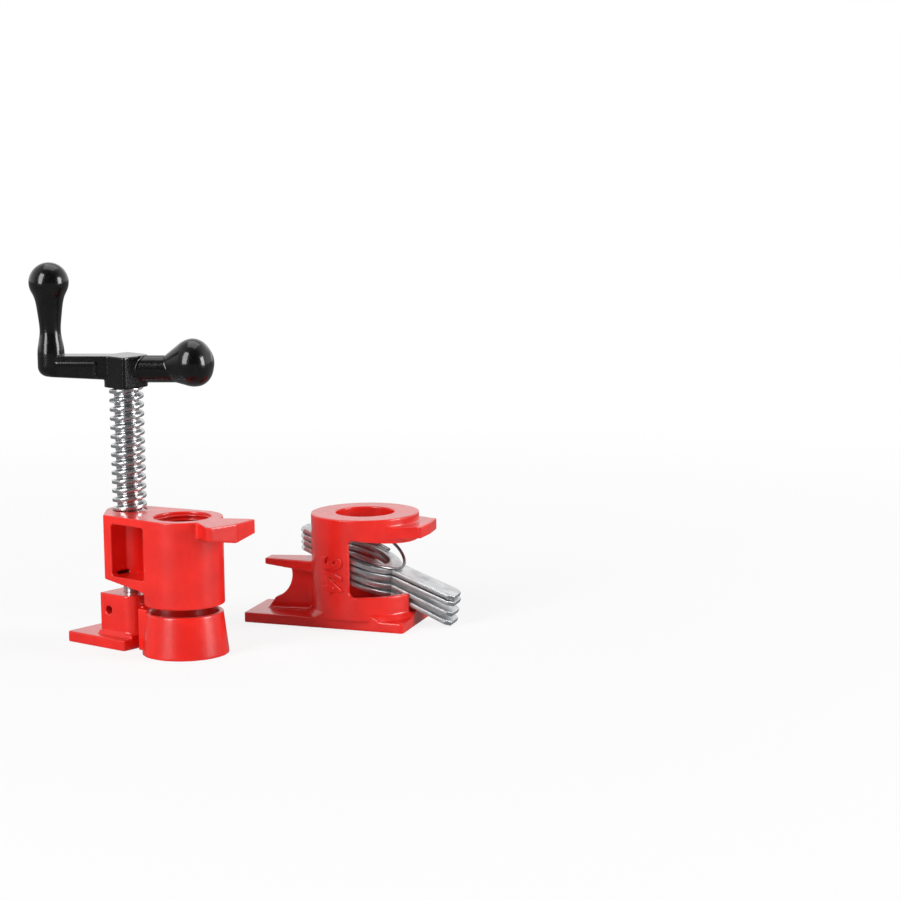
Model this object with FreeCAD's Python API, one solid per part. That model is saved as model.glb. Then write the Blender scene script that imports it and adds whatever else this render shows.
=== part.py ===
import FreeCAD
import Part
import math
import os

# A pipe clamp for 3/4 inch pipe, standing on its jaws beside its sliding tail.
# The origin is on the head's pipe axis in the plane of the pressing faces, +Z is up along the pipe,
# and the screw stands beside the pipe on -X. All lengths are millimetres, all angles degrees.

Vec = FreeCAD.Vector

# Fits and cutting
running_clearance = 0.05
cut_overrun = 2.0
match_gap = 0.01

# Pipe that the clamp is made for
pipe_radius = 13.34
pipe_slip_gap = 0.85
pipe_thread_height = 1.04

# Screw
screw_offset = 34.5
screw_radius = 7.94
screw_pitch = 4.233
thread_depth = 2.3
thread_crest_width = 1.6
thread_flank_angle = 14.5
thread_root_sink = 0.2
thread_end_inset = 3.8
exposed_thread = 57.5
neck_radius = 4.0
groove_radius = 2.9
screw_spigot_radius = 6.0

# Moving jaw
jaw_plate_reach = 27.4
jaw_plate_half_width = 16.5
jaw_plate_thickness = 5.0
jaw_plate_corner = 1.2
boss_half = 10.8
boss_height = 24.5
boss_near_radius = 6.5
boss_edge = 1.0
boss_step_width = 0.8
boss_step_height = 1.5
neck_hole_floor = 7.0
ring_height = 19.6
ring_wall = 3.6
ring_flare = 2.3
ring_lead_in_gap = 1.7
ring_bore_height = 8.0
ring_lug_half = 10.0
ring_lug_reach = 21.0
jaw_web_half = 5.0
retaining_pin_radius = 2.0
retaining_pin_offset = 5.0
retaining_pin_below_top = 7.8
retaining_pin_inset = 3.3
groove_play = 0.2

# Head casting
jaw_opening = 8.9
ring_gap = 3.6
socket_wall = 6.3
socket_chamfer = 0.6
sleeve_wall = 3.06
frame_corner_inset = 1.5
frame_end_height = 30.1
frame_low_height = 33.6
frame_blend_reach = 9.0
pocket_rim = 3.8
pocket_height = 24.4
pocket_right_reach = 6.9
pocket_socket_wall = 3.9
pocket_back = 2.5
post_width = 4.8
pocket_corner_radius = 1.6
sight_slot_height = 1.6
sight_slot_width = 5.4
sight_slot_depth = 10.0
sight_slot_overlap = 0.6
foot_reach = 32.4
foot_ridge = 2.0
foot_half_width = 14.2
foot_bar = 3.2
foot_neck_half = 8.0
foot_end_height = 6.4
foot_middle_height = 8.8

# Crank
crank_turn = 33.5
hub_side = 17.4
hub_turn = 53.0
hub_edge = 1.5
hub_arm_edge = 5.5
hub_height = 14.7
crank_wall_above_screw = 3.0
arm_reach = 35.0
arm_half_thickness = 5.6
arm_end_height = 10.1
arm_root_height = 11.7
arm_edge = 3.0
arm_panel_start = 12.8
arm_panel_end = 32.3
arm_panel_drop = 3.6
arm_panel_depth = 0.7
elbow_radius = 6.3
elbow_edge = 4.8
grip_waist_radius = 4.95
grip_waist_height = 10.0
grip_neck_radius = 5.65
grip_neck_height = 19.5
grip_join_angle = 30.0
ball_radius = 9.25
ball_height = 33.7
knob_reach = 32.4
knob_rise = 3.0
knob_radius = 11.2
knob_cap_length = 8.9
knob_arm_radius = 6.3
knob_arm_drop = 6.5
knob_cone_angle = 27.0
knob_cone_length = 14.0
knob_climb = 12.0
crank_pin_radius = 2.0
crank_pin_below_top = 8.0
crank_pin_recess = 0.4
crank_pin_past_screw = 0.8

# Tail casting, in its own frame with its pipe axis at the origin
tail_place_x = 21.0
tail_place_y = 102.0
tail_turn = 23.5
tail_height = 53.5
tail_base_left = 57.0
tail_base_right = 26.4
tail_base_left_half = 16.8
tail_base_right_half = 26.0
tail_base_thickness = 4.8
tail_base_corner = 1.5
column_flare = 2.6
collar_depth = 9.6
collar_wall = 3.1
cavity_gap = 2.2
cavity_floor = 7.2
ceiling_fall_share = 0.118
window_start = -0.5
window_sill = 16.2
window_corner_radius = 2.6
handle_side_gap = 0.8
flange_below_slot = 0.85
flange_tip_inset = 7.0
flange_tip_thickness = 3.0
flange_root_thickness = 5.4
flange_tip_half = 4.6
flange_root_half = 8.5
tail_web_half = 2.6
web_notch_root = 37.4
web_notch_low_reach = 45.7
web_notch_low_height = 10.1
web_notch_middle_height = 18.5
web_notch_top_inset = 0.6
web_foot_inset = 7.5
tail_foot_top_drop = 4.2
tail_foot_height = 5.6
tail_foot_reach = 32.0
tail_foot_ridge = 0.9
tail_foot_half_width = 13.0
tail_foot_bar = 2.0
tail_foot_root_angle = 48.5

# Clutch plates
plate_count = 4
plate_thickness = 2.1
plate_hole_gap = 0.76
plate_ring_wall = 6.6
plate_handle_half = 8.0
plate_handle_reach = 51.5
plate_handle_chamfer = 2.6
plate_tail_half = 6.0
plate_tail_reach = 31.2
plate_tail_chamfer = 1.8
pivot_past_cavity = 0.3
pivot_below_ceiling = 1.1
plate_spacing = 3.0
handle_floor_gap = 1.55
handle_steps = (3.0, 4.75, 4.26)
tail_side_gap = 0.6
tail_slot_headroom = 2.4
tail_slot_footroom = 1.25

# Clutch spring
spring_wire_radius = 0.75
spring_radius = 18.6
spring_lift_angle = -20.0
spring_low_quarters = 3
spring_rising_quarters = 2
spring_high_quarters = 1
spring_seat_gap = 0.1

# Sizes that follow from the ones above
pipe_slip_radius = pipe_radius + pipe_slip_gap
pipe_thread_minor_radius = pipe_radius - pipe_thread_height
core_radius = screw_radius - thread_depth
head_top = boss_height + jaw_opening + frame_end_height
socket_bottom = ring_height + ring_gap
socket_radius = pipe_thread_minor_radius + socket_wall
sleeve_radius = screw_radius + sleeve_wall
frame_low = head_top - frame_low_height
frame_left = -(screw_offset - frame_corner_inset)
pocket_top = head_top - pocket_rim
pocket_bottom = pocket_top - pocket_height
pocket_left = frame_left + post_width
hub_bottom = head_top + exposed_thread
arm_top = hub_bottom + hub_height
thread_bottom = frame_low + thread_end_inset
neck_bottom = neck_hole_floor + running_clearance
ring_top_radius = pipe_slip_radius + ring_wall
ring_bottom_radius = ring_top_radius + ring_flare
retaining_pin_height = boss_height - retaining_pin_below_top
plate_hole_radius = pipe_radius + plate_hole_gap
plate_ring_radius = plate_hole_radius + plate_ring_wall
cavity_radius = plate_ring_radius + cavity_gap
collar_radius = cavity_radius + collar_wall
ceiling_height = tail_height - collar_depth
pivot_reach = cavity_radius + pivot_past_cavity
pivot_height = ceiling_height - pivot_below_ceiling
lowest_pivot = pivot_height - (plate_count - 1) * plate_spacing
tail_slot_low = lowest_pivot - plate_thickness - tail_slot_footroom
flange_top = tail_slot_low - flange_below_slot
spring_quarters = spring_low_quarters + spring_rising_quarters + spring_high_quarters
spring_start_angle = spring_lift_angle - spring_low_quarters * 90.0
spring_land_angle = spring_lift_angle + spring_rising_quarters * 90.0


def cylinder(radius, bottom, top, x=0.0, y=0.0):
    return Part.makeCylinder(radius, top - bottom, Vec(x, y, bottom), Vec(0, 0, 1))


def block(x0, x1, y0, y1, z0, z1):
    return Part.makeBox(x1 - x0, y1 - y0, z1 - z0, Vec(x0, y0, z0))


def prism(outline, bottom, top):
    """A flat outline of (x, y) points, raised from bottom to top."""
    points = [Vec(x, y, bottom) for x, y in outline]
    face = Part.Face(Part.makePolygon(points + points[:1]))
    return face.extrude(Vec(0, 0, top - bottom))


def side_prism(outline, half_width):
    """An outline of (x, z) points in the plane of the pipe and screw, thick by half_width each way."""
    points = [Vec(x, -half_width, z) for x, z in outline]
    face = Part.Face(Part.makePolygon(points + points[:1]))
    return face.extrude(Vec(0, 2 * half_width, 0))


def upright_edges(shape, x_low, x_high):
    """The straight vertical edges whose foot lies between the two places along X."""
    chosen = []
    for edge in shape.Edges:
        ends = [v.Point for v in edge.Vertexes]
        if len(ends) != 2:
            continue
        lean = math.hypot(ends[0].x - ends[1].x, ends[0].y - ends[1].y)
        if lean < match_gap and x_low - match_gap <= ends[0].x <= x_high + match_gap:
            chosen.append(edge)
    return chosen


def tangent_from_point(px, py, cx, cy, radius, side):
    """Where a line from a point touches a circle, on the side given as +1 or -1."""
    dx, dy = px - cx, py - cy
    reach = math.hypot(dx, dy)
    angle = math.atan2(dy, dx) + side * math.acos(radius / reach)
    return cx + radius * math.cos(angle), cy + radius * math.sin(angle)


def head_casting():
    # Plan of the screw box: flush with the socket in front, a tangent wall from the sleeve behind.
    front_left = (frame_left, -socket_radius)
    end_touch = tangent_from_point(front_left[0], front_left[1], -screw_offset, 0.0, sleeve_radius, -1)
    lean = math.asin((socket_radius - sleeve_radius) / screw_offset)
    back_screw = (-screw_offset - sleeve_radius * math.sin(lean), sleeve_radius * math.cos(lean))
    back_socket = (-socket_radius * math.sin(lean), socket_radius * math.cos(lean))
    plan = prism([(0.0, -socket_radius), front_left, end_touch, back_screw, back_socket],
                 socket_bottom, head_top)
    plan = plan.fuse(cylinder(sleeve_radius, frame_low, head_top, x=-screw_offset))
    # The underside climbs from the socket to the far end of the box, and runs out on the socket's side.
    far_left = -screw_offset - sleeve_radius - cut_overrun
    end_low = head_top - frame_end_height
    side = [(0.0, socket_bottom), (0.0, head_top), (far_left, head_top), (far_left, end_low),
            (frame_left, end_low), (-frame_blend_reach, frame_low)]
    box = plan.common(side_prism(side, 2 * socket_radius))
    body = box.fuse(cylinder(socket_radius, socket_bottom, head_top))

    # Pocket in the front face, with the sleeve and the socket wall left standing in it.
    pocket = block(pocket_left, -pocket_right_reach, -socket_radius - cut_overrun, -pocket_back,
                   pocket_bottom, pocket_top)
    rim = [e for e in pocket.Edges if abs(e.Vertexes[0].Y - e.Vertexes[-1].Y) > match_gap]
    pocket = pocket.makeFillet(pocket_corner_radius, rim)
    pocket = pocket.cut(cylinder(sleeve_radius, frame_low, head_top, x=-screw_offset))
    pocket = pocket.cut(cylinder(pipe_thread_minor_radius + pocket_socket_wall, frame_low, head_top))
    body = body.cut(pocket)
    # A low gap at the pocket's floor shows the screw.
    slot_back = -sight_slot_depth / 2
    body = body.cut(block(pocket_left - sight_slot_width, pocket_left + sight_slot_overlap,
                          slot_back - sight_slot_depth, slot_back,
                          pocket_bottom, pocket_bottom + sight_slot_height))

    body = body.fuse(head_foot())

    # Pipe socket, left plain at the thread's minor diameter, and the plain bore of the nut.
    mouth = socket_chamfer + cut_overrun
    bore = cylinder(pipe_thread_minor_radius, socket_bottom - cut_overrun, head_top + cut_overrun)
    for level, way in ((head_top, 1), (socket_bottom, -1)):
        lead = Part.makeCone(pipe_thread_minor_radius, pipe_thread_minor_radius + mouth, mouth,
                             Vec(0, 0, level - way * socket_chamfer), Vec(0, 0, way))
        bore = bore.fuse(lead)
    nut = cylinder(screw_radius + running_clearance, frame_low - cut_overrun, head_top + cut_overrun,
                   x=-screw_offset)
    return body.cut(bore).cut(nut).removeSplitter()


def head_foot():
    inner = pipe_thread_minor_radius
    bar_start = foot_reach - foot_bar
    outline = [(inner, -foot_neck_half), (socket_radius, -foot_neck_half), (bar_start, -foot_half_width),
               (foot_reach, -foot_half_width), (foot_reach + foot_ridge, 0.0),
               (foot_reach, foot_half_width), (bar_start, foot_half_width),
               (socket_radius, foot_neck_half), (inner, foot_neck_half)]
    foot = prism(outline, head_top - foot_middle_height, head_top)
    # Seen from its end the foot is deepest in the middle.
    end = head_top - foot_end_height
    face = [(-foot_half_width, end), (0.0, head_top - foot_middle_height), (foot_half_width, end),
            (foot_half_width, head_top), (-foot_half_width, head_top)]
    points = [Vec(0, y, z) for y, z in face]
    view = Part.Face(Part.makePolygon(points + points[:1])).extrude(Vec(foot_reach + foot_bar, 0, 0))
    return foot.common(view)


def moving_jaw():
    boss_right = -screw_offset + boss_half
    plate_left = -screw_offset - jaw_plate_reach
    plate = block(plate_left, boss_right, -jaw_plate_half_width, jaw_plate_half_width,
                  0.0, jaw_plate_thickness)
    plate = plate.makeFillet(jaw_plate_corner, upright_edges(plate, plate_left, boss_right))

    boss_left = -screw_offset - boss_half
    boss = block(boss_left, boss_right, -boss_half, boss_half, 0.0, boss_height)
    boss = boss.makeFillet(boss_near_radius, upright_edges(boss, boss_right, boss_right))
    boss = boss.makeFillet(boss_edge, upright_edges(boss, boss_left, boss_left))

    step_left, step_right = boss_left - boss_step_width, boss_right
    step_half = boss_half + boss_step_width
    step = block(step_left, step_right, -step_half, step_half, 0.0,
                 jaw_plate_thickness + boss_step_height)

    web = block(boss_right - boss_edge, -ring_top_radius, -jaw_web_half, jaw_web_half, 0.0, ring_height)
    lug = block(-ring_lug_reach, 0.0, -ring_lug_half, ring_lug_half, 0.0, ring_height)
    ring = Part.makeCone(ring_bottom_radius, ring_top_radius, ring_height)
    body = plate.fuse(boss).fuse(step).fuse(web).fuse(lug).fuse(ring)

    body = body.cut(cylinder(pipe_slip_radius, -cut_overrun, ring_height + cut_overrun))
    lead = Part.makeCone(pipe_slip_radius, pipe_slip_radius + ring_lead_in_gap,
                         ring_height - ring_bore_height, Vec(0, 0, ring_bore_height))
    body = body.cut(lead)
    neck = cylinder(neck_radius + running_clearance, neck_hole_floor, boss_height + cut_overrun,
                    x=-screw_offset)
    pin = Part.makeCylinder(retaining_pin_radius, 2 * (boss_half + cut_overrun),
                            Vec(-screw_offset - retaining_pin_offset, -boss_half - cut_overrun,
                                retaining_pin_height), Vec(0, 1, 0))
    return body.cut(neck).cut(pin).removeSplitter()


def jaw_retaining_pin():
    half = boss_half - retaining_pin_inset
    return Part.makeCylinder(retaining_pin_radius, 2 * half,
                             Vec(-screw_offset - retaining_pin_offset, -half, retaining_pin_height),
                             Vec(0, 1, 0))


def acme_screw():
    crank_seat = arm_top - crank_wall_above_screw
    core = cylinder(core_radius, thread_bottom, hub_bottom)
    crest_half = thread_crest_width / 2
    root_half = crest_half + (thread_depth + thread_root_sink) * math.tan(math.radians(thread_flank_angle))
    root = core_radius - thread_root_sink
    # One thread ridge, swept along a helix and trimmed to the threaded length.
    start = thread_bottom - screw_pitch / 2
    helix = Part.makeHelix(screw_pitch, hub_bottom - thread_bottom + screw_pitch, core_radius)
    helix.translate(Vec(0, 0, start))
    profile = [Vec(root, 0, start - root_half), Vec(screw_radius, 0, start - crest_half),
               Vec(screw_radius, 0, start + crest_half), Vec(root, 0, start + root_half)]
    sweep = Part.BRepOffsetAPI.MakePipeShell(Part.Wire(helix))
    sweep.setFrenetMode(True)
    sweep.add(Part.makePolygon(profile + profile[:1]))
    sweep.build()
    sweep.makeSolid()
    trim = cylinder(screw_radius + cut_overrun, thread_bottom, hub_bottom - running_clearance)
    thread = core.fuse(sweep.shape().common(trim))

    spigot = cylinder(screw_spigot_radius, hub_bottom - running_clearance, crank_seat)
    neck = cylinder(neck_radius, neck_bottom, thread_bottom)
    groove_half = retaining_pin_radius + groove_play
    groove = cylinder(neck_radius + cut_overrun, retaining_pin_height - groove_half,
                      retaining_pin_height + groove_half)
    groove = groove.cut(cylinder(groove_radius, 0.0, boss_height))
    shaft = thread.fuse(spigot).fuse(neck).cut(groove)
    shaft = shaft.cut(crank_pin_bore())
    shaft.translate(Vec(-screw_offset, 0, 0))
    return shaft


def crank_pin_line():
    """Start, direction and length of the pin, driven from the hub's back face through the screw."""
    turn = math.radians(crank_turn + hub_turn)
    way = Vec(-math.cos(turn), -math.sin(turn), 0)
    reach = hub_side / 2 - crank_pin_recess
    far = screw_spigot_radius + crank_pin_past_screw
    return way * (-reach) + Vec(0, 0, arm_top - crank_pin_below_top), way, reach + far


def crank_pin_bore():
    start, way, length = crank_pin_line()
    return Part.makeCylinder(crank_pin_radius, length + cut_overrun, start - way * cut_overrun, way)


def crank_pin():
    start, way, length = crank_pin_line()
    pin = Part.makeCylinder(crank_pin_radius, length, start, way)
    pin.translate(Vec(-screw_offset, 0, 0))
    return pin


def crank_handle():
    # The crank is drawn with its grip on -X and its knob on +X, then turned to its rest place.
    half = hub_side / 2
    hub = block(-half, half, -half, half, hub_bottom, arm_top)
    sides = upright_edges(hub, -half, half)
    along = [e for e in sides if e.CenterOfMass.x * e.CenterOfMass.y < 0]
    hub = hub.makeFillet(hub_edge, along)
    across = [e for e in upright_edges(hub, -half, half) if abs(abs(e.CenterOfMass.x) - half) < match_gap
              and abs(abs(e.CenterOfMass.y) - half) < match_gap]
    hub = hub.makeFillet(hub_arm_edge, across)
    hub.rotate(Vec(0, 0, 0), Vec(0, 0, 1), hub_turn - 90)

    crank = hub.fuse(crank_arm()).fuse(grip()).fuse(knob_arm())
    crank = crank.cut(crank_screw_seat())
    crank.rotate(Vec(0, 0, 0), Vec(0, 0, 1), crank_turn)
    crank = crank.cut(crank_pin_bore())
    crank.translate(Vec(-screw_offset, 0, 0))
    return crank.removeSplitter()


def crank_arm():
    outline = [(0.0, arm_top), (-arm_reach, arm_top), (-arm_reach, arm_top - arm_end_height),
               (0.0, arm_top - arm_root_height)]
    arm = side_prism(outline, arm_half_thickness)
    low_edges = [e for e in arm.Edges if abs(e.Vertexes[0].X - e.Vertexes[-1].X) > arm_reach / 2
                 and e.CenterOfMass.z < arm_top - arm_end_height / 2]
    arm = arm.makeFillet(arm_edge, low_edges)
    # Each side of the arm is shallower below a line under its top.
    panel_top = arm_top - arm_panel_drop
    panel_low = arm_top - arm_root_height - cut_overrun
    for side in (-1, 1):
        face = side * arm_half_thickness
        floor = face - side * arm_panel_depth
        arm = arm.cut(block(-arm_panel_end, -arm_panel_start,
                            min(face, floor), max(face, floor), panel_low, panel_top))
    return arm


def crank_screw_seat():
    seat_radius = screw_spigot_radius + running_clearance
    top = arm_top - crank_wall_above_screw + running_clearance
    return cylinder(seat_radius, hub_bottom - cut_overrun, top)


def grip():
    """The upright handle: elbow, waist and a ball that runs into it, turned about its own axis."""
    foot = arm_top - arm_end_height
    ball_z = arm_top + ball_height
    low = math.radians(grip_join_angle)
    join = Vec(ball_radius * math.cos(low), 0, ball_z - ball_radius * math.sin(low))
    top = ball_z + ball_radius
    bend = elbow_edge * (1 - math.sqrt(0.5))
    p = [Vec(0, 0, foot), Vec(elbow_radius - elbow_edge, 0, foot), Vec(elbow_radius, 0, foot + elbow_edge),
         Vec(elbow_radius, 0, arm_top), join, Vec(0, 0, top)]
    corner = Vec(elbow_radius - bend, 0, foot + bend)
    waist = Vec(grip_waist_radius, 0, arm_top + grip_waist_height)
    neck = Vec(grip_neck_radius, 0, arm_top + grip_neck_height)
    edges = [Part.LineSegment(p[0], p[1]).toShape(), Part.Arc(p[1], corner, p[2]).toShape(),
             Part.LineSegment(p[2], p[3]).toShape()]
    side = Part.BSplineCurve()
    side.interpolate([p[3], waist, neck, p[4]], InitialTangent=Vec(0, 0, 1),
                     FinalTangent=Vec(math.sin(low), 0, math.cos(low)))
    edges.append(side.toShape())
    edges.append(Part.Arc(p[4], Vec(ball_radius, 0, ball_z), p[5]).toShape())
    edges.append(Part.LineSegment(p[5], p[0]).toShape())
    turned = Part.Face(Part.Wire(edges)).revolve(Vec(0, 0, 0), Vec(0, 0, 1), 360)
    turned.translate(Vec(-arm_reach, 0, 0))
    return turned


def knob_arm():
    """The short level arm, and the knob at its end: a cone, a ball and a flatter cap, on an axis that climbs."""
    level = arm_top - knob_arm_drop
    arm = Part.makeCylinder(knob_arm_radius, knob_reach, Vec(0, 0, level), Vec(1, 0, 0))
    cone = math.radians(knob_cone_angle)
    # Places along and off the knob's own axis, from the ball's middle.
    touch = Vec(-knob_radius * math.sin(cone), 0, knob_radius * math.cos(cone))
    start = Vec(-knob_cone_length, 0, touch.z - (knob_cone_length + touch.x) * math.tan(cone))
    high = cone / 2
    shoulder = Vec(-knob_radius * math.sin(high), 0, knob_radius * math.cos(high))
    crown = Vec(0, 0, knob_radius)
    tip = Vec(knob_cap_length, 0, 0)
    foot = Vec(-knob_cone_length, 0, 0)
    cap = Part.BSplineCurve()
    rounds = [math.radians(share * 90.0) for share in (1.0, 0.75, 0.5, 0.25, 0.0)]
    cap.interpolate([Vec(knob_cap_length * math.cos(a), 0, knob_radius * math.sin(a)) for a in rounds],
                    InitialTangent=Vec(1, 0, 0), FinalTangent=Vec(0, 0, -1))
    edges = [Part.LineSegment(foot, start).toShape(),
             Part.LineSegment(start, touch).toShape(),
             Part.Arc(touch, shoulder, crown).toShape(),
             cap.toShape(),
             Part.LineSegment(tip, foot).toShape()]
    knob = Part.Face(Part.Wire(edges)).revolve(Vec(0, 0, 0), Vec(1, 0, 0), 360)
    knob.rotate(Vec(0, 0, 0), Vec(0, 1, 0), -knob_climb)
    knob.translate(Vec(knob_reach, 0, level + knob_rise))
    return arm.fuse(knob)


def ceiling_at(x):
    """Height of the collar's underside, which falls towards the handles."""
    return ceiling_height - ceiling_fall_share * (x - window_start)


def tail_casting():
    base_outline = [(-tail_base_left, -tail_base_left_half), (tail_base_right, -tail_base_right_half),
                    (tail_base_right, tail_base_right_half), (-tail_base_left, tail_base_left_half)]
    base = prism(base_outline, 0.0, tail_base_thickness)
    base = base.makeFillet(tail_base_corner, upright_edges(base, -tail_base_left, tail_base_right))
    body = base.fuse(cylinder(collar_radius, tail_base_thickness, tail_height))
    # The column's foot flares out onto the base.
    flare = Part.makeCone(collar_radius + column_flare, collar_radius, column_flare,
                          Vec(0, 0, tail_base_thickness))
    body = body.fuse(flare.common(prism(base_outline, 0.0, tail_height)))

    # Flange and web towards the pressing end.
    tip = -tail_base_left + flange_tip_inset
    root_low = flange_top - flange_root_thickness
    flange = prism([(tip, -flange_tip_half), (-cavity_radius, -flange_root_half),
                    (-cavity_radius, flange_root_half), (tip, flange_tip_half)], root_low, flange_top)
    flange = flange.common(side_prism([(tip, flange_top), (tip, flange_top - flange_tip_thickness),
                                       (-collar_radius, root_low), (-cavity_radius, root_low),
                                       (-cavity_radius, flange_top)], tail_base_right_half))
    body = body.fuse(flange).fuse(tail_web()).fuse(tail_foot())

    # Room for the plates: a round cavity, the window, and the slots for handles and tails.
    reach = collar_radius + cut_overrun
    cavity = side_prism([(-cavity_radius, cavity_floor), (cavity_radius, cavity_floor),
                         (cavity_radius, ceiling_at(cavity_radius)),
                         (-cavity_radius, ceiling_at(-cavity_radius))], cavity_radius)
    cavity = cavity.common(cylinder(cavity_radius, 0.0, tail_height))
    window = side_prism([(window_start, window_sill), (reach, window_sill), (reach, ceiling_at(reach)),
                         (window_start, ceiling_at(window_start))], reach)
    corners = [e for e in window.Edges if abs(e.CenterOfMass.x - window_start) < match_gap
               and abs(e.CenterOfMass.y) < match_gap]
    window = window.makeFillet(window_corner_radius, corners)
    handle_side = plate_handle_half + handle_side_gap
    handle_slot = block(window_start, reach, -handle_side, handle_side, cavity_floor, window_sill)
    tail_side = plate_tail_half + tail_side_gap
    tail_slot = block(-reach, -pipe_slip_radius, -tail_side, tail_side, tail_slot_low,
                      pivot_height + tail_slot_headroom)
    for room in (cavity, window, handle_slot, tail_slot):
        body = body.cut(room)
    body = body.cut(cylinder(pipe_slip_radius, -cut_overrun, tail_height + cut_overrun))
    return body.removeSplitter()


def tail_web():
    under_flange = flange_top - flange_tip_thickness
    toe = -tail_base_left + web_foot_inset
    low = Vec(-web_notch_low_reach, 0, web_notch_low_height)
    middle = Vec(-web_notch_root, 0, web_notch_middle_height)
    high = Vec(-web_notch_root - web_notch_top_inset, 0, under_flange)
    corners = [high, Vec(-cavity_radius, 0, under_flange), Vec(-cavity_radius, 0, 0), Vec(toe, 0, 0),
               Vec(toe, 0, tail_base_thickness), low]
    edges = [Part.LineSegment(a, b).toShape() for a, b in zip(corners, corners[1:])]
    edges.append(Part.Arc(low, middle, high).toShape())
    web = Part.Face(Part.Wire(edges)).extrude(Vec(0, 2 * tail_web_half, 0))
    web.translate(Vec(0, -tail_web_half, 0))
    return web


def tail_foot():
    root = math.radians(tail_foot_root_angle)
    root_x, root_y = collar_radius * math.cos(root), collar_radius * math.sin(root)
    bar_start = tail_foot_reach - tail_foot_bar
    outline = [(root_x, -root_y), (bar_start, -tail_foot_half_width),
               (tail_foot_reach, -tail_foot_half_width), (tail_foot_reach + tail_foot_ridge, 0.0),
               (tail_foot_reach, tail_foot_half_width), (bar_start, tail_foot_half_width),
               (root_x, root_y)]
    top = tail_height - tail_foot_top_drop
    return prism(outline, top - tail_foot_height, top)


def to_tail_place(shape):
    shape.rotate(Vec(0, 0, 0), Vec(0, 0, 1), tail_turn)
    shape.translate(Vec(tail_place_x, tail_place_y, 0))
    return shape


def pivot_at(index):
    """Height of a plate's resting edge in the slot; the plates are counted from the top."""
    return pivot_height - index * plate_spacing


def plate_tilt(index):
    """Tilt that brings the handle's underside to its height over the slot's floor, at the collar's edge."""
    under = cavity_floor + handle_floor_gap + sum(handle_steps[index:])
    drop = pivot_at(index) - under
    reach = collar_radius + pivot_reach
    return math.degrees(math.acos(plate_thickness / math.hypot(reach, drop)) - math.atan2(reach, drop))


def clutch_plate(index):
    """A ring with a handle and a tail, tilted about the top edge of its tail in the column's slot."""
    handle_end, tail_end = plate_handle_reach, -plate_tail_reach
    outline = [(tail_end, -plate_tail_half + plate_tail_chamfer),
               (tail_end + plate_tail_chamfer, -plate_tail_half), (0.0, -plate_tail_half),
               (0.0, -plate_handle_half), (handle_end - plate_handle_chamfer, -plate_handle_half),
               (handle_end, -plate_handle_half + plate_handle_chamfer)]
    outline += [(x, -y) for x, y in reversed(outline)]
    plate = prism(outline, -plate_thickness, 0.0)
    plate = plate.fuse(cylinder(plate_ring_radius, -plate_thickness, 0.0))
    plate = plate.cut(cylinder(plate_hole_radius, -plate_thickness - cut_overrun, cut_overrun))
    plate = plate.removeSplitter()
    plate.translate(Vec(pivot_reach, 0, 0))
    plate.rotate(Vec(0, 0, 0), Vec(0, 1, 0), plate_tilt(index))
    plate.translate(Vec(-pivot_reach, 0, pivot_at(index)))
    return plate


def spring_point(angle):
    """A point of the spring's centre line: on the top plate, then rising, then under the collar."""
    turn = math.radians(angle)
    x = spring_radius * math.cos(turn)
    y = spring_radius * math.sin(turn)
    seat = spring_wire_radius + spring_seat_gap
    slope = math.radians(plate_tilt(0))
    on_plate = pivot_height - (x + pivot_reach) * math.tan(slope) + seat / math.cos(slope)
    under_collar = ceiling_at(x) - seat / math.cos(math.atan(ceiling_fall_share))
    rise = (angle - spring_lift_angle) / (spring_land_angle - spring_lift_angle)
    rise = min(1.0, max(0.0, rise))
    blend = rise * rise * (3 - 2 * rise)
    return Vec(x, y, on_plate + blend * (under_collar - on_plate))


def arc_with_tangent(start, end, way):
    """The arc that leaves start along way and reaches end."""
    chord = end - start
    across = chord - way * chord.dot(way)
    if across.Length < match_gap * match_gap:
        return Part.LineSegment(start, end)
    half_turn = way.getAngle(chord)
    radius = chord.Length / (2 * math.sin(half_turn))
    across.normalize()
    centre = start + across * radius
    middle = (start + end) * 0.5 - centre
    middle.normalize()
    return Part.Arc(start, centre + middle * radius, end)


def biarc(start, start_way, end, end_way):
    """Two arcs that meet smoothly and keep the direction at both ends."""
    gap = end - start
    both = start_way + end_way
    turn = 2 * (1 - start_way.dot(end_way))
    reach = (-gap.dot(both) + math.sqrt(gap.dot(both) ** 2 + turn * gap.dot(gap))) / turn
    knee = (start + end + (start_way - end_way) * reach) * 0.5
    first_tip = start + start_way * reach
    knee_way = knee - first_tip
    knee_way.normalize()
    return [arc_with_tangent(start, knee, start_way), arc_with_tangent(knee, end, knee_way)]


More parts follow.
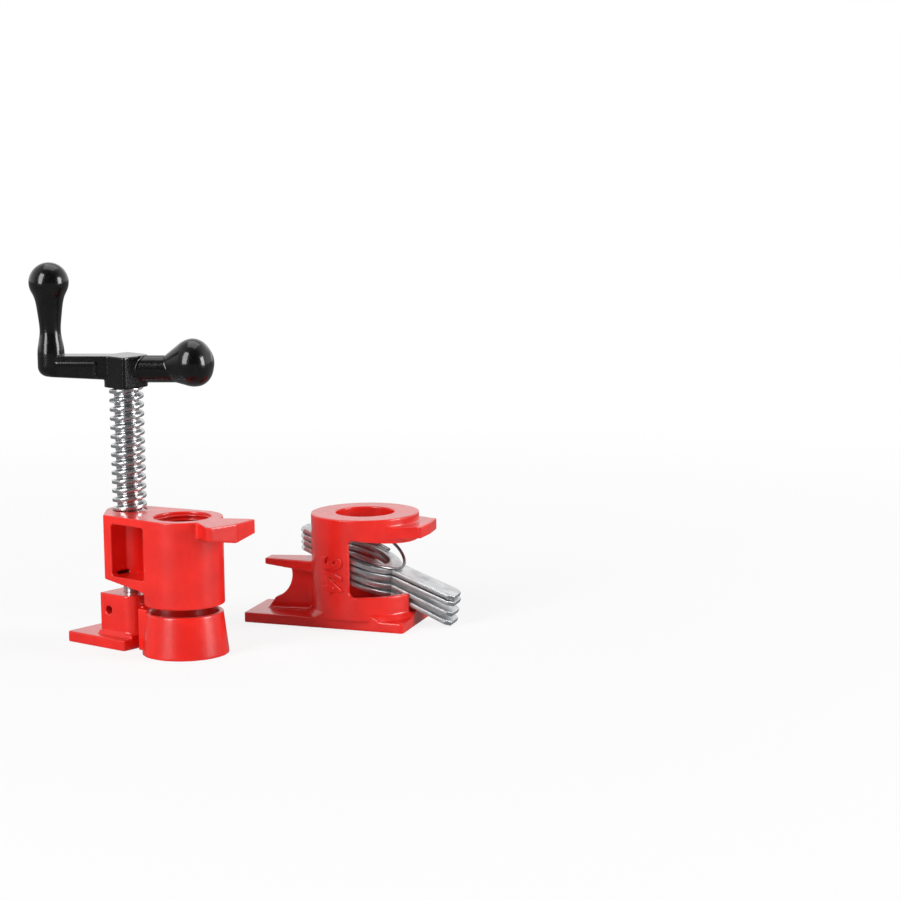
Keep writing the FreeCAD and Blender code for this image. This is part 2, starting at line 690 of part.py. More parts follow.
def clutch_spring():
    """One unbroken wire on biarcs of a quarter turn, straight for one diameter at each end."""
    small_angle = 0.01
    places, ways = [], []
    for index in range(spring_quarters + 1):
        angle = spring_start_angle + index * 90.0
        places.append(spring_point(angle))
        way = spring_point(angle + small_angle) - spring_point(angle - small_angle)
        way.normalize()
        ways.append(way)
    straight = 2 * spring_wire_radius
    first = places[0] - ways[0] * straight
    last = places[-1] + ways[-1] * straight
    curves = [Part.LineSegment(first, places[0])]
    for a, a_way, b, b_way in zip(places, ways, places[1:], ways[1:]):
        curves += biarc(a, a_way, b, b_way)
    curves.append(Part.LineSegment(places[-1], last))
    edges = [curve.toShape() for curve in curves]
    path = Part.Wire(edges)
    sweep = Part.BRepOffsetAPI.MakePipeShell(path)
    sweep.add(Part.Wire(Part.makeCircle(spring_wire_radius, first, ways[0])))
    sweep.build()
    sweep.makeSolid()
    tube = sweep.shape()

    # Least gap of the wire to itself, measured on points half a turn or more apart.
    points = []
    for edge in edges:
        points += edge.discretize(24)[:-1]
    half_turn = math.pi * spring_radius
    runs = [0.0]
    for a, b in zip(points, points[1:]):
        runs.append(runs[-1] + a.distanceToPoint(b))
    gaps = [a.distanceToPoint(b) for i, a in enumerate(points) for j, b in enumerate(points[:i])
            if runs[i] - runs[j] > half_turn]
    radii = [edge.Curve.Radius for edge in edges if hasattr(edge.Curve, "Radius")]
    section = math.pi * spring_wire_radius ** 2
    print("spring: least gap", round(min(gaps) - 2 * spring_wire_radius, 2), "mm, least arc radius",
          round(min(radii), 2), "mm, volume over section times length",
          round(tube.Volume / (section * path.Length), 4))
    return tube


def main():
    os.makedirs("parts", exist_ok=True)
    pieces = {
        "head_casting": head_casting(),
        "acme_screw": acme_screw(),
        "crank_handle": crank_handle(),
        "crank_pin": crank_pin(),
        "moving_jaw": moving_jaw(),
        "jaw_retaining_pin": jaw_retaining_pin(),
        "tail_casting": to_tail_place(tail_casting()),
        "clutch_spring": to_tail_place(clutch_spring()),
    }
    for index in range(plate_count):
        pieces["clutch_plate_%d" % (index + 1)] = to_tail_place(clutch_plate(index))
    for name, shape in pieces.items():
        solids = shape.Solids
        print(name, "solids", len(solids), "valid", shape.isValid(), "volume", round(shape.Volume))
        if len(solids) == 1:
            shape = solids[0]
        shape.exportStep("parts/%s.step" % name)


main()
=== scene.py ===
import math
import bmesh
import bpy
from mathutils import Euler, Matrix, Vector


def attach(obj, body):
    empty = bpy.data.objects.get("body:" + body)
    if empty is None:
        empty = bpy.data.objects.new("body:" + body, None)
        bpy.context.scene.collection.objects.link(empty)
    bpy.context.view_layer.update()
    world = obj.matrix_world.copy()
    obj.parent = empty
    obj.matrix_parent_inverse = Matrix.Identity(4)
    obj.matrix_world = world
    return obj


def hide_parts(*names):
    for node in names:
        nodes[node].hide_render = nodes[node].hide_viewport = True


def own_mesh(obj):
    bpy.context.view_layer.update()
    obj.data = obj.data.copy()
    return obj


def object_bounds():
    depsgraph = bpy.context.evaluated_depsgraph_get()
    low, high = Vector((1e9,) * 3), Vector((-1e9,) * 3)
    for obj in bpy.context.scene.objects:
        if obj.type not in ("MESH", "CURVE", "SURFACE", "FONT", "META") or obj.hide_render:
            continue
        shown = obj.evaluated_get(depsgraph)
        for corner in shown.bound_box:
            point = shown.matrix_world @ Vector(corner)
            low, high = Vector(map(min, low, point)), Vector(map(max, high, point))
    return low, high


# Looks, light and camera for a pipe clamp: a head with its screw, jaw and crank, and a tail with clutch plates.
# Sizes in the dictionaries are millimetres and degrees; mm turns them into the frame's metres.

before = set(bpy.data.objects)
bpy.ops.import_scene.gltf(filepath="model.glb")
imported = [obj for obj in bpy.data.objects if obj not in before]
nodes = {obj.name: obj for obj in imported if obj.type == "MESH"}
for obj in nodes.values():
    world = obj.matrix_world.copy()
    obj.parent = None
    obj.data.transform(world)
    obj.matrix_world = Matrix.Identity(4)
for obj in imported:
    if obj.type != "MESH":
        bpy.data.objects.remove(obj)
cadLow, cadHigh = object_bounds()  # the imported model's own box
mm = 0.001
print("frame loaded,", len(nodes), "nodes")


# Node maths written as Python: a Wire is one socket of a tree
class Wire:
    def __init__(self, graph, socket):
        self.graph = graph
        self.socket = socket

    def maths(self, operation, *values):
        return self.graph.node("ShaderNodeMath", {"operation": operation}, dict(enumerate(values)))

    def __add__(self, other):
        return self.maths("ADD", self, other)

    def __radd__(self, other):
        return self.maths("ADD", other, self)

    def __sub__(self, other):
        return self.maths("SUBTRACT", self, other)

    def __rsub__(self, other):
        return self.maths("SUBTRACT", other, self)

    def __mul__(self, other):
        return self.maths("MULTIPLY", self, other)

    def __rmul__(self, other):
        return self.maths("MULTIPLY", other, self)

    def __truediv__(self, other):
        return self.maths("DIVIDE", self, other)

    def __rtruediv__(self, other):
        return self.maths("DIVIDE", other, self)


class Graph:
    def __init__(self, tree):
        self.tree = tree

    # Any node: its type, its settings first, then the values or wires of its sockets
    def node(self, kind, settings=None, sockets=None, out=0):
        made = self.tree.nodes.new(kind)
        for name, value in (settings or {}).items():
            if name == "stops":  # the stops of a colour ramp
                ramp = made.color_ramp.elements
                while len(ramp) < len(value):
                    ramp.new(0.5)
                for stop, (place, shade) in zip(ramp, value):
                    stop.position = place
                    stop.color = shade if hasattr(shade, "__len__") else (shade, shade, shade, 1)
            else:
                setattr(made, name, value)
        for name, value in (sockets or {}).items():
            socket = made.inputs[name]
            if isinstance(value, Wire):
                self.tree.links.new(value.socket, socket)
            else:
                socket.default_value = value
        return Wire(self, made.outputs[out]) if made.outputs else made


def newLook(name):
    look = bpy.data.materials.new(name)
    look.use_nodes = True
    look.node_tree.nodes.clear()
    return look, Graph(look.node_tree)


def finishLook(graph, surface):
    graph.node("ShaderNodeOutputMaterial", None, {"Surface": surface})


def colour(shade):
    return (*shade, 1.0)


# Noise on the piece's own place, its grain given in millimetres
def grain(graph, size, detail, rough=0.55, stretch=None):
    place = graph.node("ShaderNodeTexCoord", None, None, "Object")
    if stretch:
        place = graph.node("ShaderNodeMapping", None, {"Vector": place, "Scale": stretch})
    return graph.node("ShaderNodeTexNoise", None,
                      {"Vector": place, "Scale": 1 / (size * mm), "Detail": detail, "Roughness": rough})


def between(graph, value, low, high, fromLow, fromHigh):
    return graph.node("ShaderNodeMapRange", None,
                      {"Value": value, "From Min": fromLow, "From Max": fromHigh, "To Min": low, "To Max": high})


def blended(graph, share, first, second):
    return graph.node("ShaderNodeMix", {"data_type": "RGBA"}, {0: share, 6: first, 7: second}, 2)


# A bump of a given rise in millimetres, laid over another one where there is one
def bump(graph, height, rise, under=None):
    sockets = {"Height": height, "Distance": rise * mm, "Strength": 1.0}
    if under:
        sockets["Normal"] = under
    return graph.node("ShaderNodeBump", None, sockets)


# Enamels: cloudy colour, painted shade in hollows and a painted highlight along edges, lumps and fine sand from the
# casting under it, and a clear coat.
# Each window is the part of a noise, or of the pointiness, over which an effect fades in.
enamels = {
    # The second colour gives cloudy tone and painted shade in hollows; the third is a painted highlight along edges.
    "redEnamel": {"body": (0.80, 0.015, 0.008), "cloudToneAndShade": (0.62, 0.008, 0.005), "thin": (0.88, 0.060, 0.035),
                  "cloud": 14.0, "cloudShare": 0.7, "cloudWindow": (0.35, 0.70),
                  "hollowShadeShare": 0.7, "hollowShadeWindow": (0.32, 0.43), "edgeHighlightShare": 0.5, "edgeHighlightWindow": (0.54, 0.64),
                  "lump": 2.6, "lumpRise": 0.05, "sand": 0.55, "sandRise": 0.018,
                  "gloss": (0.30, 0.40), "shine": 0.38, "coat": 0.60, "coatRough": 0.10},
    "blackEnamel": {"body": (0.0022, 0.0022, 0.0025), "cloudToneAndShade": (0.006, 0.006, 0.0065), "thin": None,
                    "cloud": 6.0, "cloudShare": 0.8, "cloudWindow": (0.45, 0.75),
                    "lump": 0.9, "lumpRise": 0.055, "sand": 0.4, "sandRise": 0.022,
                    "gloss": (0.16, 0.26), "shine": 0.25, "coat": 0.55, "coatRough": 0.05},
}
enamelSkin = {"cloudDetail": 4.0, "lumpDetail": 2.0, "sandDetail": 3.0, "sandRough": 0.6,
              "glossWindow": (0.3, 0.7), "coatIor": 1.5}  # the same for both enamels


def enamelLook(name):
    s = enamels[name]
    look, g = newLook(name)
    clouds = grain(g, s["cloud"], enamelSkin["cloudDetail"])
    lumps = grain(g, s["lump"], enamelSkin["lumpDetail"])
    sand = grain(g, s["sand"], enamelSkin["sandDetail"], enamelSkin["sandRough"])
    cloudy = between(g, clouds, 0.0, s["cloudShare"], *s["cloudWindow"])
    shade = blended(g, cloudy, colour(s["body"]), colour(s["cloudToneAndShade"]))
    if s["thin"]:  # painted shade darkens the hollows and a painted highlight lightens the edges, both found by pointiness
        edge = g.node("ShaderNodeNewGeometry", None, None, "Pointiness")
        # Painted shade: darker where the pointiness shows a hollow.
        hollowShade = between(g, edge, 1.0, 0.0, *s["hollowShadeWindow"])
        # Painted highlight: lighter where the pointiness shows an edge.
        edgeHighlight = between(g, edge, 0.0, 1.0, *s["edgeHighlightWindow"])
        shade = blended(g, hollowShade * s["hollowShadeShare"], shade, colour(s["cloudToneAndShade"]))
        shade = blended(g, edgeHighlight * s["edgeHighlightShare"], shade, colour(s["thin"]))
    gloss = between(g, lumps, *s["gloss"], *enamelSkin["glossWindow"])
    skin = bump(g, sand, s["sandRise"], bump(g, lumps, s["lumpRise"]))
    shader = g.node("ShaderNodeBsdfPrincipled", None,
                    {"Base Color": shade, "Roughness": gloss, "Specular IOR Level": s["shine"],
                     "Coat Weight": s["coat"], "Coat Roughness": s["coatRough"], "Coat IOR": enamelSkin["coatIor"],
                     "Normal": skin})
    finishLook(g, shader)
    return look


# Metals: blotches from light to dark, fine streaks, and painted shade in the roots of a thread
metals = {
    "zincThread": {"light": (0.90, 0.91, 0.92), "dark": (0.55, 0.56, 0.58), "rootShade": (0.22, 0.22, 0.225),
                   "rootShadeWindow": (0.42, 0.54), "blotch": 3.0, "streak": 0.30, "stretch": (1.0, 1.0, 9.0),
                   "rise": 0.012, "gloss": (0.16, 0.34)},
    "zincStamping": {"light": (0.80, 0.81, 0.82), "dark": (0.50, 0.51, 0.52), "rootShade": None,
                     "blotch": 7.0, "streak": 0.35, "stretch": None, "rise": 0.010, "gloss": (0.26, 0.44)},
    "springWire": {"light": (0.34, 0.34, 0.35), "dark": (0.12, 0.12, 0.13), "rootShade": None,
                   "blotch": 2.0, "streak": 0.20, "stretch": None, "rise": 0.006, "gloss": (0.16, 0.30)},
    # The pin is tinted near black as painted shade for the deep hole it sits in.
    "shadedPinSteel": {"light": (0.05, 0.05, 0.055), "dark": (0.015, 0.015, 0.015), "rootShade": None,
                 "blotch": 1.5, "streak": 0.20, "stretch": None, "rise": 0.010, "gloss": (0.45, 0.65)},
}
metalSkin = {"blotchDetail": 5.0, "blotchRough": 0.6, "streakDetail": 2.0, "streakRough": 0.5,
             "darkWindow": (0.40, 0.72), "streakShare": 0.5, "glossWindow": (0.35, 0.65)}  # the same for all metals


def metalLook(name):
    s = metals[name]
    look, g = newLook(name)
    blotches = grain(g, s["blotch"], metalSkin["blotchDetail"], metalSkin["blotchRough"])
    streaks = grain(g, s["streak"], metalSkin["streakDetail"], metalSkin["streakRough"], s["stretch"])
    darker = between(g, blotches, 0.0, 1.0, *metalSkin["darkWindow"])
    shade = blended(g, darker, colour(s["light"]), colour(s["dark"]))
    if s["rootShade"]:
        # Painted shade: darker in the roots of the thread, where the pointiness shows a hollow.
        edge = g.node("ShaderNodeNewGeometry", None, None, "Pointiness")
        shade = blended(g, between(g, edge, 1.0, 0.0, *s["rootShadeWindow"]), shade, colour(s["rootShade"]))
    worked = blotches * (1 - metalSkin["streakShare"]) + streaks * metalSkin["streakShare"]
    gloss = between(g, worked, *s["gloss"], *metalSkin["glossWindow"])
    shader = g.node("ShaderNodeBsdfPrincipled", None,
                    {"Base Color": shade, "Metallic": 1.0, "Roughness": gloss,
                     "Normal": bump(g, streaks, s["rise"])})
    finishLook(g, shader)
    return look


looks = {
    "red_enamel": enamelLook("redEnamel"), "black_enamel": enamelLook("blackEnamel"),
    "zinc_screw": metalLook("zincThread"), "zinc_plate": metalLook("zincStamping"),
    "spring_steel": metalLook("springWire"), "pin_steel": metalLook("shadedPinSteel"),
}
print("materials made,", len(looks))

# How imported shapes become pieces: corners nearer than weld are one, and each smoothing pass goes soften of the way
reworking = {"weld": 0.001, "soften": 0.5, "mostTriangles": 150000}


def mergedCopy(nodeName):
    copied = bmesh.new()
    copied.from_mesh(nodes[nodeName].data)
    bmesh.ops.remove_doubles(copied, verts=copied.verts, dist=reworking["weld"] * mm)
    return copied


def newPiece(name, shape):
    mesh = bpy.data.meshes.new(name)
    shape.to_mesh(mesh)
    shape.free()
    piece = bpy.data.objects.new(name, mesh)
    bpy.context.scene.collection.objects.link(piece)
    return piece


# The result of a piece's modifiers becomes its plain mesh
def settle(piece):
    bpy.context.view_layer.update()
    graph = bpy.context.evaluated_depsgraph_get()
    piece.data = bpy.data.meshes.new_from_object(piece.evaluated_get(graph), depsgraph=graph)
    piece.modifiers.clear()
    return piece


def triangles(mesh):
    return sum(len(face.vertices) - 2 for face in mesh.polygons)


# Sharp edges are rounded off by a skin of small voxels, smoothed and then thinned out
def rounded(piece, grainSize, passes, most):
    remesh = piece.modifiers.new("skin", "REMESH")
    remesh.mode = "VOXEL"
    remesh.voxel_size = grainSize * mm
    soften = piece.modifiers.new("soften", "SMOOTH")
    soften.factor = reworking["soften"]
    soften.iterations = passes
    settle(piece)
    count = triangles(piece.data)
    if count > most:
        thin = piece.modifiers.new("thin", "DECIMATE")
        thin.ratio = most / count
        settle(piece)
    piece.data.shade_smooth()
    return piece


def dress(piece, slotName, body, *nodeNames):
    piece.data.materials.clear()
    piece.data.materials.append(looks[slotName])
    for face in piece.data.polygons:
        face.material_index = 0
    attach(piece, body)
    if nodeNames:
        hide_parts(*nodeNames)


# Castings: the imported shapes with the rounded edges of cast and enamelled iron
castings = {
    "headBody": {"node": "head_casting", "body": "head", "slot": "red_enamel", "grain": 0.42, "passes": 3},
    "jawBody": {"node": "moving_jaw", "body": "jaw", "slot": "red_enamel", "grain": 0.42, "passes": 3},
    "tailBody": {"node": "tail_casting", "body": "tail", "slot": "red_enamel", "grain": 0.42, "passes": 3},
    "crankBody": {"node": "crank_handle", "body": "screw", "slot": "black_enamel", "grain": 0.34, "passes": 3},
    "screwBody": {"node": "acme_screw", "body": "screw", "slot": "zinc_screw", "grain": 0.26, "passes": 4},
}
# A raised mould line along the edge of the shallow panel on each side of the crank's arm
mouldLine = {"radius": 0.62, "side": 5.5, "level": 132.1, "from": -31.4, "to": -12.8, "foot": 125.8,
             "turn": 33.5, "screwAt": -34.5, "around": 16}
# The ribs of the pipe thread in the head's socket, and the bore that makes room for them
socketThread = {"bore": 13.25, "root": 13.45, "crest": 12.35, "pitch": 1.814, "rootWidth": 1.75, "crestWidth": 0.30,
                "bottom": 24.2, "top": 62.6, "stepsPerTurn": 48}


def addRod(shape, first, second, radius):
    way = second - first
    place = Matrix.Translation((first + second) / 2) @ way.to_track_quat("Z", "Y").to_matrix().to_4x4()
    bmesh.ops.create_cone(shape, cap_ends=True, segments=mouldLine["around"], radius1=radius, radius2=radius,
                          depth=way.length, matrix=place)


def addMouldLine(shape):
    s = mouldLine
    toPlace = Matrix.Translation((s["screwAt"] * mm, 0, 0)) @ Matrix.Rotation(math.radians(s["turn"]), 4, "Z")
    for side in (-s["side"], s["side"]):
        corners = [toPlace @ (Vector(point) * mm) for point in
                   ((s["from"], side, s["level"]), (s["to"], side, s["level"]), (s["to"], side, s["foot"]))]
        for first, second in zip(corners, corners[1:]):
            addRod(shape, first, second, s["radius"] * mm)


def widenSocket(shape):
    bore = socketThread["bore"] * mm
    for point in shape.verts:
        reach = math.hypot(point.co.x, point.co.y)
        if reach < bore:
            point.co.x *= bore / reach
            point.co.y *= bore / reach


for name, s in castings.items():
    shape = mergedCopy(s["node"])
    if name == "headBody":
        widenSocket(shape)
    if name == "crankBody":
        addMouldLine(shape)
    piece = rounded(newPiece(name, shape), s["grain"], s["passes"], reworking["mostTriangles"])
    dress(piece, s["slot"], s["body"], s["node"])
    print(name, triangles(piece.data), "triangles")


# Trees of Geometry Nodes, with their sizes as named inputs
def newTree(name, sizes):
    tree = bpy.data.node_groups.new(name, "GeometryNodeTree")
    tree.interface.new_socket("Geometry", in_out="OUTPUT", socket_type="NodeSocketGeometry")
    for label, value in sizes.items():
        kind = "NodeSocketInt" if isinstance(value, int) else "NodeSocketFloat"
        tree.interface.new_socket(label, in_out="INPUT", socket_type=kind)
    graph = Graph(tree)
    entry = tree.nodes.new("NodeGroupInput")
    return graph, {label: Wire(graph, entry.outputs[label]) for label in sizes}


def endTree(graph, geometry, look):
    whole = graph.node("GeometryNodeRealizeInstances", None, {0: geometry})
    painted = graph.node("GeometryNodeSetMaterial", None, {0: whole, "Material": look})
    graph.node("NodeGroupOutput", None, {0: painted})


def growPiece(name, graph, sizes):
    piece = newPiece(name, bmesh.new())
    grow = piece.modifiers.new("grow", "NODES")
    grow.node_group = graph.tree
    for item in graph.tree.interface.items_tree:
        if item.in_out == "INPUT":
            grow[item.identifier] = sizes[item.name]
    return settle(piece)


# A thread ridge is a helix with a trapezoid swept along it
def threadPiece(name, s, body, slotName):
    turns = (s["top"] - s["bottom"]) / s["pitch"]
    sizes = {"turns": turns, "rootRadius": s["root"] * mm, "crestRadius": s["crest"] * mm,
             "rootWidth": s["rootWidth"] * mm, "crestWidth": s["crestWidth"] * mm,
             "bottom": s["bottom"] * mm, "height": (s["top"] - s["bottom"]) * mm, "steps": s["stepsPerTurn"]}
    g, size = newTree(name + "Tree", sizes)
    line = g.node("GeometryNodeCurveSpiral", None,
                  {"Resolution": size["steps"], "Rotations": size["turns"], "Start Radius": size["rootRadius"],
                   "End Radius": size["rootRadius"], "Height": size["height"]})
    line = g.node("GeometryNodeSetCurveNormal", {"mode": "Z_UP"}, {0: line})
    rise = size["rootRadius"] - size["crestRadius"]
    outline = (("rootWidth", -0.5, 0.0), ("rootWidth", 0.5, 0.0), ("crestWidth", 0.5, 1.0), ("crestWidth", -0.5, 1.0))
    corners = {"Point %d" % number: g.node("ShaderNodeCombineXYZ", None, {"X": rise * depth, "Y": size[width] * side})
               for number, (width, side, depth) in enumerate(outline, 1)}
    section = g.node("GeometryNodeCurvePrimitiveQuadrilateral", {"mode": "POINTS"}, corners)
    ridge = g.node("GeometryNodeCurveToMesh", None, {"Curve": line, "Profile Curve": section, "Fill Caps": True})
    lift = g.node("ShaderNodeCombineXYZ", None, {"Z": size["bottom"]})
    ridge = g.node("GeometryNodeTransform", None, {"Geometry": ridge, "Translation": lift})
    endTree(g, ridge, looks[slotName])
    piece = growPiece(name, g, sizes)
    piece.data.shade_smooth()
    dress(piece, slotName, body)
    print(name, triangles(piece.data), "triangles")


threadPiece("socketThread", socketThread, "head", "red_enamel")


# Clutch plates: zinc plated stampings with slightly rounded edges
stamping = {"edge": 0.17, "edgeSteps": 3, "flatWithin": 1.0, "edgeOver": 35.0}

for index in range(1, 5):
    shape = mergedCopy("clutch_plate_%d" % index)
    bmesh.ops.dissolve_limit(shape, angle_limit=math.radians(stamping["flatWithin"]),
                             verts=shape.verts, edges=shape.edges)
    piece = newPiece("plate%d" % index, shape)
    piece.data.shade_smooth()
    bevel = piece.modifiers.new("edge", "BEVEL")
    bevel.width = stamping["edge"] * mm
    bevel.segments = stamping["edgeSteps"]
    bevel.limit_method = "ANGLE"
    bevel.angle_limit = math.radians(stamping["edgeOver"])
    bevel.harden_normals = True
    settle(piece)
    dress(piece, "zinc_plate", "plate_%d" % index, "clutch_plate_%d" % index)
    print(piece.name, triangles(piece.data), "triangles")


# Raised numerals of the pipe size, bent round the tail's column and read from top to bottom
tailPlace = {"x": 21.0, "y": 102.0, "turn": 23.5, "radius": 26.0}
numerals = {"text": "3/4", "capHeight": 11.8, "length": 17.4, "middleAngle": -110.5, "middleHeight": 26.6,
            "rise": 1.25, "sink": 0.6, "stroke": 0.035, "grain": 0.16, "passes": 12, "mostTriangles": 50000}


def numeralsPiece():
    s = numerals
    words = bpy.data.curves.new("numerals", "FONT")
    words.body = s["text"]
    words.extrude = 0.5  # any depth, as the mesh is stretched to its sizes below
    words.offset = s["stroke"]  # a bolder stroke
    flat = bpy.data.objects.new("numerals", words)
    bpy.context.scene.collection.objects.link(flat)
    bpy.context.view_layer.update()
    graph = bpy.context.evaluated_depsgraph_get()
    mesh = bpy.data.meshes.new_from_object(flat.evaluated_get(graph), depsgraph=graph)
    bpy.data.objects.remove(flat)
    low = [min(point.co[i] for point in mesh.vertices) for i in range(3)]
    high = [max(point.co[i] for point in mesh.vertices) for i in range(3)]
    wanted = (s["length"], s["capHeight"], s["rise"] + s["sink"])
    for point in mesh.vertices:
        for i in range(3):
            share = (point.co[i] - low[i]) / (high[i] - low[i]) - 0.5
            point.co[i] = share * wanted[i] * mm
    piece = bpy.data.objects.new("numerals", mesh)
    bpy.context.scene.collection.objects.link(piece)
    rounded(piece, s["grain"], s["passes"], s["mostTriangles"])
    for point in piece.data.vertices:
        along, across, out = point.co
        reach = tailPlace["radius"] * mm + out + (s["rise"] - s["sink"]) / 2 * mm
        angle = math.radians(s["middleAngle"] + tailPlace["turn"]) + across / (tailPlace["radius"] * mm)
        point.co = (tailPlace["x"] * mm + reach * math.cos(angle), tailPlace["y"] * mm + reach * math.sin(angle),
                    s["middleHeight"] * mm - along)
    shape = bmesh.new()
    shape.from_mesh(piece.data)
    bmesh.ops.recalc_face_normals(shape, faces=shape.faces)
    shape.to_mesh(piece.data)
    shape.free()
    piece.data.shade_smooth()
    dress(piece, "red_enamel", "tail")
    print("numerals", triangles(piece.data), "triangles")


numeralsPiece()


# Clutch spring: a wire on the top plate that rises to lie under the collar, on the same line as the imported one
spring = {"wire": 0.75, "radius": 18.6, "start": -290.0, "lift": -20.0, "land": 160.0, "end": 250.0,
          "seatGap": 0.1, "pivotReach": 23.2, "pivotHeight": 42.8, "plateTilt": 21.898,
          "ceiling": 43.9, "ceilingFall": 0.118, "windowStart": -0.5, "steps": 200, "around": 16, "squashedTo": 0.2}


def springPiece():
    s = spring
    seat = s["wire"] + s["seatGap"]
    sizes = {"wireRadius": s["wire"] * mm, "coilRadius": s["radius"] * mm, "startAngle": math.radians(s["start"]),
             "liftAngle": math.radians(s["lift"]), "landAngle": math.radians(s["land"]),
             "endAngle": math.radians(s["end"]), "pivotReach": s["pivotReach"] * mm,
             "plateSlope": math.tan(math.radians(s["plateTilt"])),
             "plateLevel": (s["pivotHeight"] + seat / math.cos(math.radians(s["plateTilt"]))) * mm,
             "ceilingLevel": (s["ceiling"] - seat / math.cos(math.atan(s["ceilingFall"]))) * mm,
             "ceilingFall": s["ceilingFall"], "windowStart": s["windowStart"] * mm,
             "steps": s["steps"], "around": s["around"]}
    g, size = newTree("springTree", sizes)
    line = g.node("GeometryNodeMeshLine", None, {"Count": size["steps"]})
    share = g.node("GeometryNodeInputIndex") / (size["steps"] - 1)
    angle = size["startAngle"] + share * (size["endAngle"] - size["startAngle"])
    x = size["coilRadius"] * angle.maths("COSINE", angle)
    y = size["coilRadius"] * angle.maths("SINE", angle)
    low = size["plateLevel"] - (x + size["pivotReach"]) * size["plateSlope"]
    high = size["ceilingLevel"] - size["ceilingFall"] * (x - size["windowStart"])
    rise = (angle - size["liftAngle"]) / (size["landAngle"] - size["liftAngle"])
    rise = rise.maths("MINIMUM", 1.0, rise.maths("MAXIMUM", 0.0, rise))
    height = low + rise * rise * (3 - 2 * rise) * (high - low)
    place = g.node("ShaderNodeCombineXYZ", None, {"X": x, "Y": y, "Z": height})
    line = g.node("GeometryNodeSetPosition", None, {"Geometry": line, "Position": place})
    line = g.node("GeometryNodeMeshToCurve", None, {0: line})
    ring = g.node("GeometryNodeCurvePrimitiveCircle", None,
                  {"Resolution": size["around"], "Radius": size["wireRadius"]})
    tube = g.node("GeometryNodeCurveToMesh", None, {"Curve": line, "Profile Curve": ring, "Fill Caps": True})
    toPlace = {"Geometry": tube, "Translation": (tailPlace["x"] * mm, tailPlace["y"] * mm, 0.0),
               "Rotation": (0.0, 0.0, math.radians(tailPlace["turn"]))}
    endTree(g, g.node("GeometryNodeTransform", None, toPlace), looks["spring_steel"])
    piece = growPiece("springCoil", g, sizes)
    piece.data.shade_smooth()
    dress(piece, "spring_steel", "tail", "clutch_spring")
    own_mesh(piece)
    print("springCoil", triangles(piece.data), "triangles")


springPiece()

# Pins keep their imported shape
for name, slotName in (("crank_pin", "black_enamel"), ("jaw_retaining_pin", "pin_steel")):
    nodes[name].data.materials.clear()
    nodes[name].data.materials.append(looks[slotName])
print("pieces done")


# Floor, studio light and camera, their places and sizes in metres
stageSizes = {"floorHalf": 9.0, "floorLevel": -0.0002, "floorShade": 0.86, "shadowShare": 0.16,
              "fadeFrom": 0.22, "fadeTo": 0.75, "inGloss": 0.22}
plainWhite = (1.0, 1.0, 1.0)


# Rays that metal, gloss or glass sends on see the background too
def seenInMetal(graph):
    gloss = graph.node("ShaderNodeLightPath", None, None, "Is Glossy Ray")
    through = graph.node("ShaderNodeLightPath", None, None, "Is Transmission Ray")
    return gloss.maths("MAXIMUM", gloss, through)


def floorPiece():
    s = stageSizes
    shape = bmesh.new()
    half = s["floorHalf"]
    corners = [shape.verts.new((x, y, s["floorLevel"])) for x, y in
               ((-half, -half), (half, -half), (half, half), (-half, half))]
    shape.faces.new(corners)
    floor = newPiece("floor", shape)
    look, g = newLook("paleFloor")
    matt = g.node("ShaderNodeBsdfDiffuse", None, {"Color": colour((s["floorShade"],) * 3)})
    camera = g.node("ShaderNodeLightPath", None, None, "Is Camera Ray")
    mirrored = seenInMetal(g)
    place = g.node("ShaderNodeTexCoord", None, None, "Object")
    far = g.node("ShaderNodeVectorMath", {"operation": "LENGTH"}, {0: place}, "Value")
    near = between(g, far, s["shadowShare"], 0.0, s["fadeFrom"], s["fadeTo"])  # a soft shadow, only near the part
    light = g.node("ShaderNodeEmission", None,
                   {"Color": colour(plainWhite), "Strength": camera + mirrored * s["inGloss"]})
    share = camera * (1 - near) + mirrored
    finishLook(g, g.node("ShaderNodeMixShader", None, {0: share, 1: matt, 2: light}))
    floor.data.materials.append(look)


floorPiece()

studio = {
    "diffuse": 0.10, "back": (-0.705, 0.693, 0.15),
    "glossy": ((0.0, 0.03), (0.28, 0.07), (0.45, 0.35), (0.60, 0.95), (1.0, 1.0)),  # from the camera's side to behind
    "overhead": 0.45, "overheadWindow": (0.25, 0.9),
    # each lamp's azimuth and distance from the object's middle, its height, its size across and up, and its watts
    "lamps": {
        "left": {"azimuth": -94.0, "distance": 1.45, "height": 0.75, "size": (0.62, 1.50), "power": 25.5},
        "right": {"azimuth": 24.0, "distance": 1.45, "height": 0.42, "size": (0.6, 0.80), "power": 17.5},
        "top": {"azimuth": 120.0, "distance": 0.4, "height": 1.5, "size": (1.2, 1.2), "power": 7.0},
    },
}


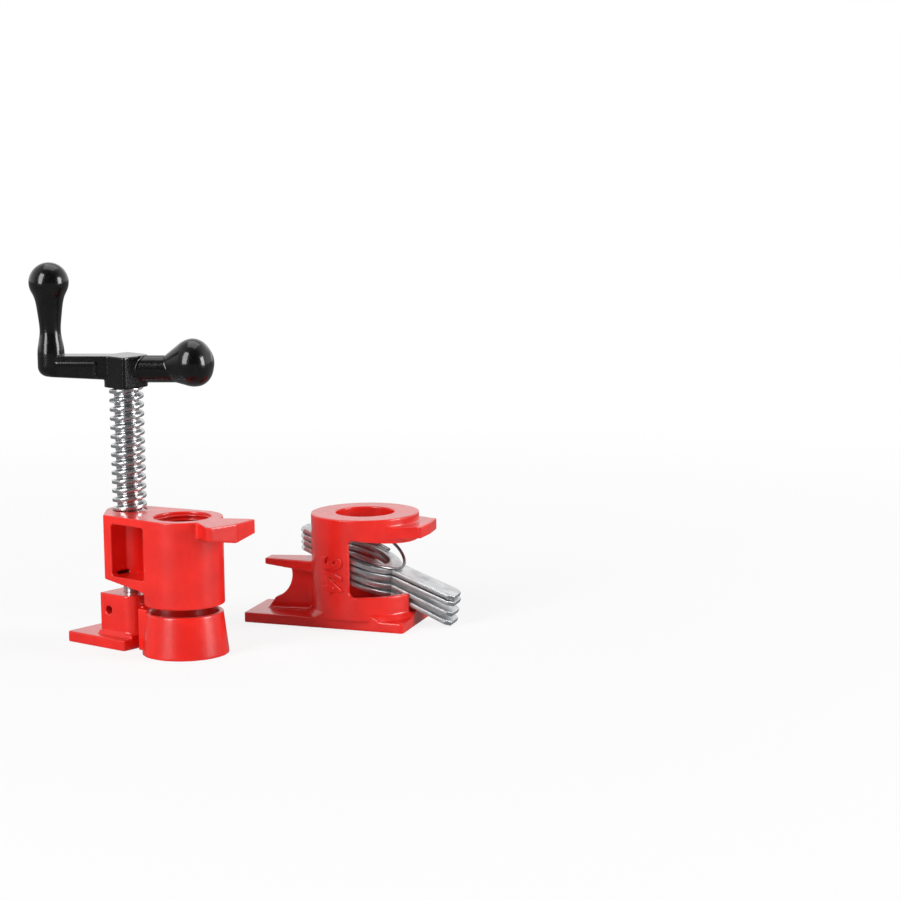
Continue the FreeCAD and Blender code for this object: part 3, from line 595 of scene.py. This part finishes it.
def studioLight():
    s = studio
    world = bpy.data.worlds.new("studio")
    bpy.context.scene.world = world
    world.use_nodes = True
    world.node_tree.nodes.clear()
    g = Graph(world.node_tree)
    way = g.node("ShaderNodeTexCoord", None, None, "Generated")
    ahead = g.node("ShaderNodeVectorMath", {"operation": "DOT_PRODUCT"}, {0: way, 1: s["back"]}, "Value")
    glossy = g.node("ShaderNodeValToRGB", {"stops": s["glossy"]}, {"Fac": ahead * 0.5 + 0.5})
    up = g.node("ShaderNodeSeparateXYZ", None, {"Vector": way}, "Z")
    glossy = glossy * between(g, up, 1.0, s["overhead"], *s["overheadWindow"])
    camera = g.node("ShaderNodeLightPath", None, None, "Is Camera Ray")
    mirrored = seenInMetal(g)
    strength = camera + (1 - camera) * (mirrored * glossy + (1 - mirrored) * s["diffuse"])
    light = g.node("ShaderNodeBackground", None, {"Color": colour(plainWhite), "Strength": strength})
    g.node("ShaderNodeOutputWorld", None, {"Surface": light})
    middle = (cadLow + cadHigh) / 2
    for name, lamp in s["lamps"].items():
        light = bpy.data.lights.new(name, "AREA")
        light.shape = "RECTANGLE"
        light.size, light.size_y = lamp["size"]
        light.energy = lamp["power"]
        holder = bpy.data.objects.new(name, light)
        angle = math.radians(lamp["azimuth"])
        holder.location = (middle.x + lamp["distance"] * math.cos(angle),
                           middle.y + lamp["distance"] * math.sin(angle), lamp["height"])
        holder.rotation_euler = (middle - holder.location).to_track_quat("-Z", "Y").to_euler()
        bpy.context.scene.collection.objects.link(holder)


studioLight()

viewer = {"place": (0.92108, -0.90551, 0.28775), "turn": (81.3689, 0.7556, 39.9113), "lens": 114.0, "sensor": 36.0}
lens = bpy.data.cameras.new("viewer")
lens.lens = viewer["lens"]
lens.sensor_width = viewer["sensor"]
camera = bpy.data.objects.new("viewer", lens)
camera.location = viewer["place"]
camera.rotation_euler = Euler([math.radians(angle) for angle in viewer["turn"]])
bpy.context.scene.collection.objects.link(camera)
bpy.context.scene.camera = camera
bpy.context.scene.view_settings.view_transform = "Standard"
print("stage set")
